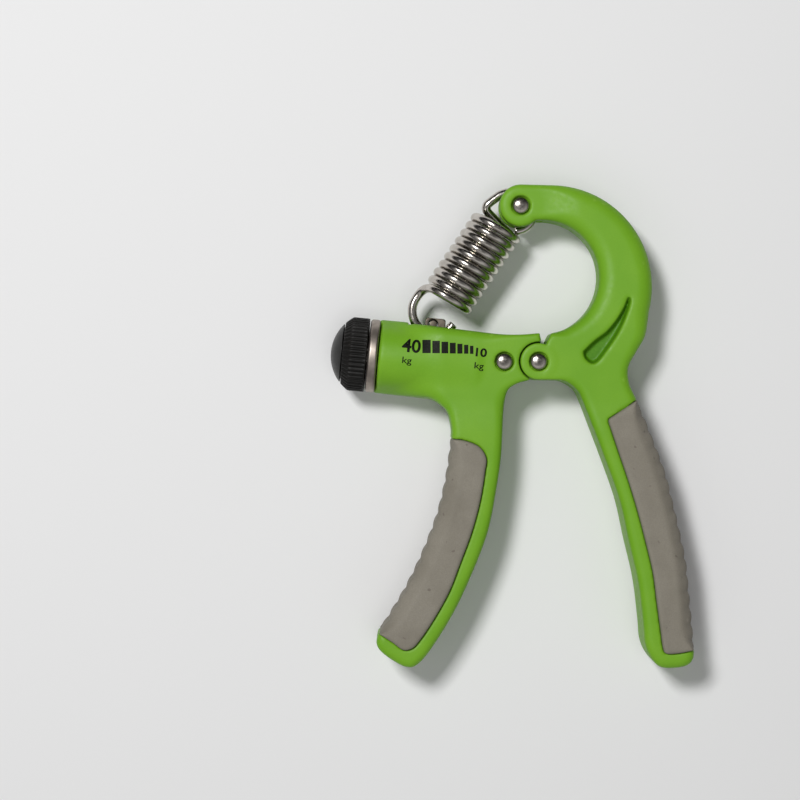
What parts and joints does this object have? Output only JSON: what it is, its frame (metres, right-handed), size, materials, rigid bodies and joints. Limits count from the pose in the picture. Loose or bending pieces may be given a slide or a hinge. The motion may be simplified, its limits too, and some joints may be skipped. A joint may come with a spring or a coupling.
{
  "type": "adjustable hand grip strengthener",
  "caption": "Scissor-action hand gripper: two moulded handles on a rivet pivot, held open by a tension spring whose lower anchor is moved by a knob and lead screw.",
  "frame": {"origin": "centre of the gripper's box, on the surface it lies on; the gripper lies on its back", "axes": "+Y runs from the handle tips to the spring arm, +X from the knob to the moving handle, +Z out of the front face that carries the scale"},
  "size_m": [0.1012, 0.1346, 0.022],
  "materials": {
    "green_plastic": "satin moulded",
    "soft_grip": "soft-touch, finely textured",
    "plated_steel": "nickel plated",
    "spring_steel": "drawn wire, nickel plated",
    "collar_metal": "satin",
    "knob_plastic": "satin moulded",
    "cap_plastic": "semi-gloss",
    "brass": "turned",
    "nylon": "natural"
  },
  "bodies": {
    "housing": {"fixed_handle": "green_plastic", "fixed_grip_cover": "soft_grip", "end_collar": "collar_metal", "spindle_bush": "brass", "pivot_bush": "brass", "screw_end_block": "plated_steel", "anchor_rivet": "plated_steel"},
    "arm": {"moving_handle": "green_plastic", "moving_grip_cover": "soft_grip", "pivot_rivet": "plated_steel", "pivot_washer_front": "nylon", "pivot_washer_back": "nylon"},
    "knob": {"adjusting_knob": "knob_plastic", "knob_cap": "cap_plastic", "knob_screw": "plated_steel", "lead_screw": "plated_steel", "thrust_washer": "nylon", "retaining_clip": "plated_steel"},
    "slider": {"slider_nut": "plated_steel", "slider_pin": "plated_steel"},
    "spring_pivot": {"spring_rivet": "plated_steel"},
    "spring_top": {"spring_upper_hook": "spring_steel", "spring_coil": "spring_steel"},
    "spring_bottom": {"spring_lower_hook": "spring_steel"}
  },
  "joints": [
    {"name": "squeeze", "type": "hinge", "parent": "housing", "child": "arm", "pos_m": [0.00739, 0.01784, 0.011], "axis": [0, 0, -1], "range_deg": [0, 35], "stiffness_Nm_per_rad": 20},
    {"name": "knob_turn", "type": "hinge", "parent": "housing", "child": "knob", "pos_m": [-0.03711, 0.01939, 0.011], "axis": [0.9954, -0.0958, 0], "range_deg": [-1080, 0]},
    {"name": "slider_travel", "type": "slide", "parent": "housing", "child": "slider", "axis": [0.9954, -0.0958, 0], "range_m": [0, 0.009]},
    {"name": "spring_swing", "type": "hinge", "parent": "arm", "child": "spring_pivot", "pos_m": [0.00259, 0.06144, 0.011], "axis": [0, 0, 1], "range_deg": [-1, 11.5]},
    {"name": "spring_lean", "type": "hinge", "parent": "spring_pivot", "child": "spring_top", "pos_m": [0.00259, 0.06144, 0.011], "axis": [0, 0, 1], "range_deg": [-1, 13]},
    {"name": "spring_stretch", "type": "slide", "parent": "spring_top", "child": "spring_bottom", "axis": [-0.5933, -0.805, 0], "range_m": [0, 0.0165], "deforming": ["spring_coil", "spring_upper_hook", "spring_lower_hook"]}
  ],
  "couplings": [
    {"joint": "knob_turn", "follows": "slider_travel", "rad_per_m": -2094.4},
    {"joint": "spring_swing", "follows": "squeeze", "ratio": 0.299},
    {"joint": "spring_lean", "follows": "slider_travel", "rad_per_m": 23.193},
    {"joint": "spring_stretch", "follows": "squeeze", "m_per_rad": 0.02688}
  ]
}
